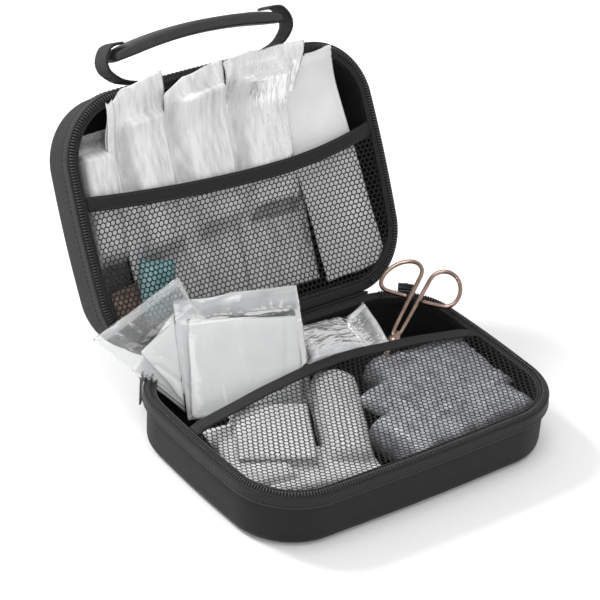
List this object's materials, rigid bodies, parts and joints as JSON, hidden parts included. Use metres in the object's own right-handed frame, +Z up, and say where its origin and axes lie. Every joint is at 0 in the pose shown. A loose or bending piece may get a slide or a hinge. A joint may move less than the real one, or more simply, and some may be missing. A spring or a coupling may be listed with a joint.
{
  "type": "first aid kit",
  "caption": "Zipped moulded carry case with net pockets, handle and folding scissors, opened on its hinge to show bandage rolls, gauze pouches and packets.",
  "frame": {"origin": "centre of the face the base rests on, under the middle of the case's plan outline", "axes": "+X along the hinge line, +Y towards the hinge, +Z up"},
  "size_m": [0.2336, 0.266, 0.2027],
  "materials": {
    "case_fabric": "fine black twill over moulded foam",
    "lining": "matt black knit",
    "zip_tape": "ribbed woven tape",
    "binding": "smooth bias binding",
    "zip_teeth": "moulded nylon teeth",
    "net": "open knitted net",
    "elastic": "folded elastic binding",
    "slider_metal": "black lacquered zinc",
    "grip_rubber": "soft moulded rubber",
    "webbing": "woven polyester webbing",
    "scissors_metal": "warm nickel plate",
    "gauze": "white woven gauze",
    "clear_film": "thin clear film",
    "pouch_paper": "white medical paper",
    "teal_film": "printed film",
    "brown_film": "printed film",
    "grey_film": "grey film packet",
    "grey_cloth": "folded non-woven cloth"
  },
  "bodies": {
    "base": {"base_shell": "case_fabric", "base_lining": "lining", "base_zip_tape": "zip_tape", "base_binding": "binding", "base_zip_teeth": "zip_teeth", "base_net": "net", "base_net_elastic": "elastic", "hinge_strip": "case_fabric", "bandage_base": "gauze", "dressing_pad": "gauze", "packet_front": "grey_film", "packet_side": "grey_film", "packet_top": "grey_film", "gauze_pad_left": "gauze", "gauze_pad_right": "gauze", "gauze_pouch_left": "clear_film", "gauze_pouch_right": "clear_film", "cellophane_packet": "clear_film", "folded_cloth": "grey_cloth"},
    "lid": {"lid_shell": "case_fabric", "lid_lining": "lining", "lid_zip_tape": "zip_tape", "lid_binding": "binding", "lid_zip_teeth": "zip_teeth", "lid_net": "net", "lid_net_elastic": "elastic", "handle_anchor_left": "webbing", "handle_anchor_right": "webbing", "handle_strap_left": "webbing", "handle_strap_right": "webbing", "bandage_small": "gauze", "bandage_narrow": "gauze", "bandage_medium": "gauze", "bandage_wide": "gauze", "wrapper_small": "clear_film", "wrapper_narrow": "clear_film", "wrapper_medium": "clear_film", "wrapper_wide": "clear_film", "dressing_pouch": "pouch_paper", "plaster_pack_teal": "teal_film", "plaster_pack_brown": "brown_film"},
    "handle": {"handle_grip": "grip_rubber"},
    "slider_left": {"zip_slider_left": "slider_metal"},
    "slider_right": {"zip_slider_right": "slider_metal"},
    "pull_left": {"pull_tab_left": "slider_metal"},
    "pull_right": {"pull_tab_right": "slider_metal"},
    "scissors_left": {"scissors_half_left": "scissors_metal", "scissors_rivet": "scissors_metal"},
    "scissors_right": {"scissors_half_right": "scissors_metal"}
  },
  "joints": [
    {"name": "lid_hinge", "type": "hinge", "parent": "base", "child": "lid", "pos_m": [0, 0.08, 0.037], "axis": [-1, 0, 0], "range_deg": [-117, 8], "deforming": ["hinge_strip", "gauze_pouch_left", "gauze_pad_left", "gauze_pouch_right", "gauze_pad_right", "cellophane_packet", "folded_cloth", "wrapper_small", "wrapper_narrow", "wrapper_medium", "wrapper_wide"]},
    {"name": "handle_swing", "type": "hinge", "parent": "lid", "child": "handle", "pos_m": [0, 0.16534, 0.17365], "axis": [1, 0, 0], "range_deg": [-60, 60], "deforming": ["handle_strap_left", "handle_strap_right"]},
    {"name": "slider_left_travel", "type": "hinge", "parent": "base", "child": "slider_left", "pos_m": [-0.07, 0.04, 0.037], "axis": [0, 0, 1], "range_deg": [0, 46]},
    {"name": "slider_right_travel", "type": "hinge", "parent": "base", "child": "slider_right", "pos_m": [0.07, 0.04, 0.037], "axis": [0, 0, -1], "range_deg": [0, 46]},
    {"name": "pull_left_flip", "type": "hinge", "parent": "slider_left", "child": "pull_left", "pos_m": [-0.09888, 0.07097, 0.037], "axis": [0.7314, 0.682, 0], "range_deg": [0, 150]},
    {"name": "pull_right_flip", "type": "hinge", "parent": "slider_right", "child": "pull_right", "pos_m": [0.09888, 0.07097, 0.037], "axis": [0.7314, -0.682, 0], "range_deg": [0, 150]},
    {"name": "scissors_tuck", "type": "hinge", "parent": "base", "child": "scissors_left", "pos_m": [0.03136, 0.09381, 0.06473], "axis": [-0.1441, -0.5289, 0.8364], "range_deg": [-36.4, 2.6]},
    {"name": "scissors_pivot", "type": "hinge", "parent": "scissors_left", "child": "scissors_right", "pos_m": [0.06, 0.0335, 0.0305], "axis": [0.3073, 0.1465, -0.9403], "range_deg": [0, 35]}
  ],
  "couplings": [
    {"joint": "scissors_tuck", "follows": "lid_hinge", "ratio": 0.3095}
  ]
}
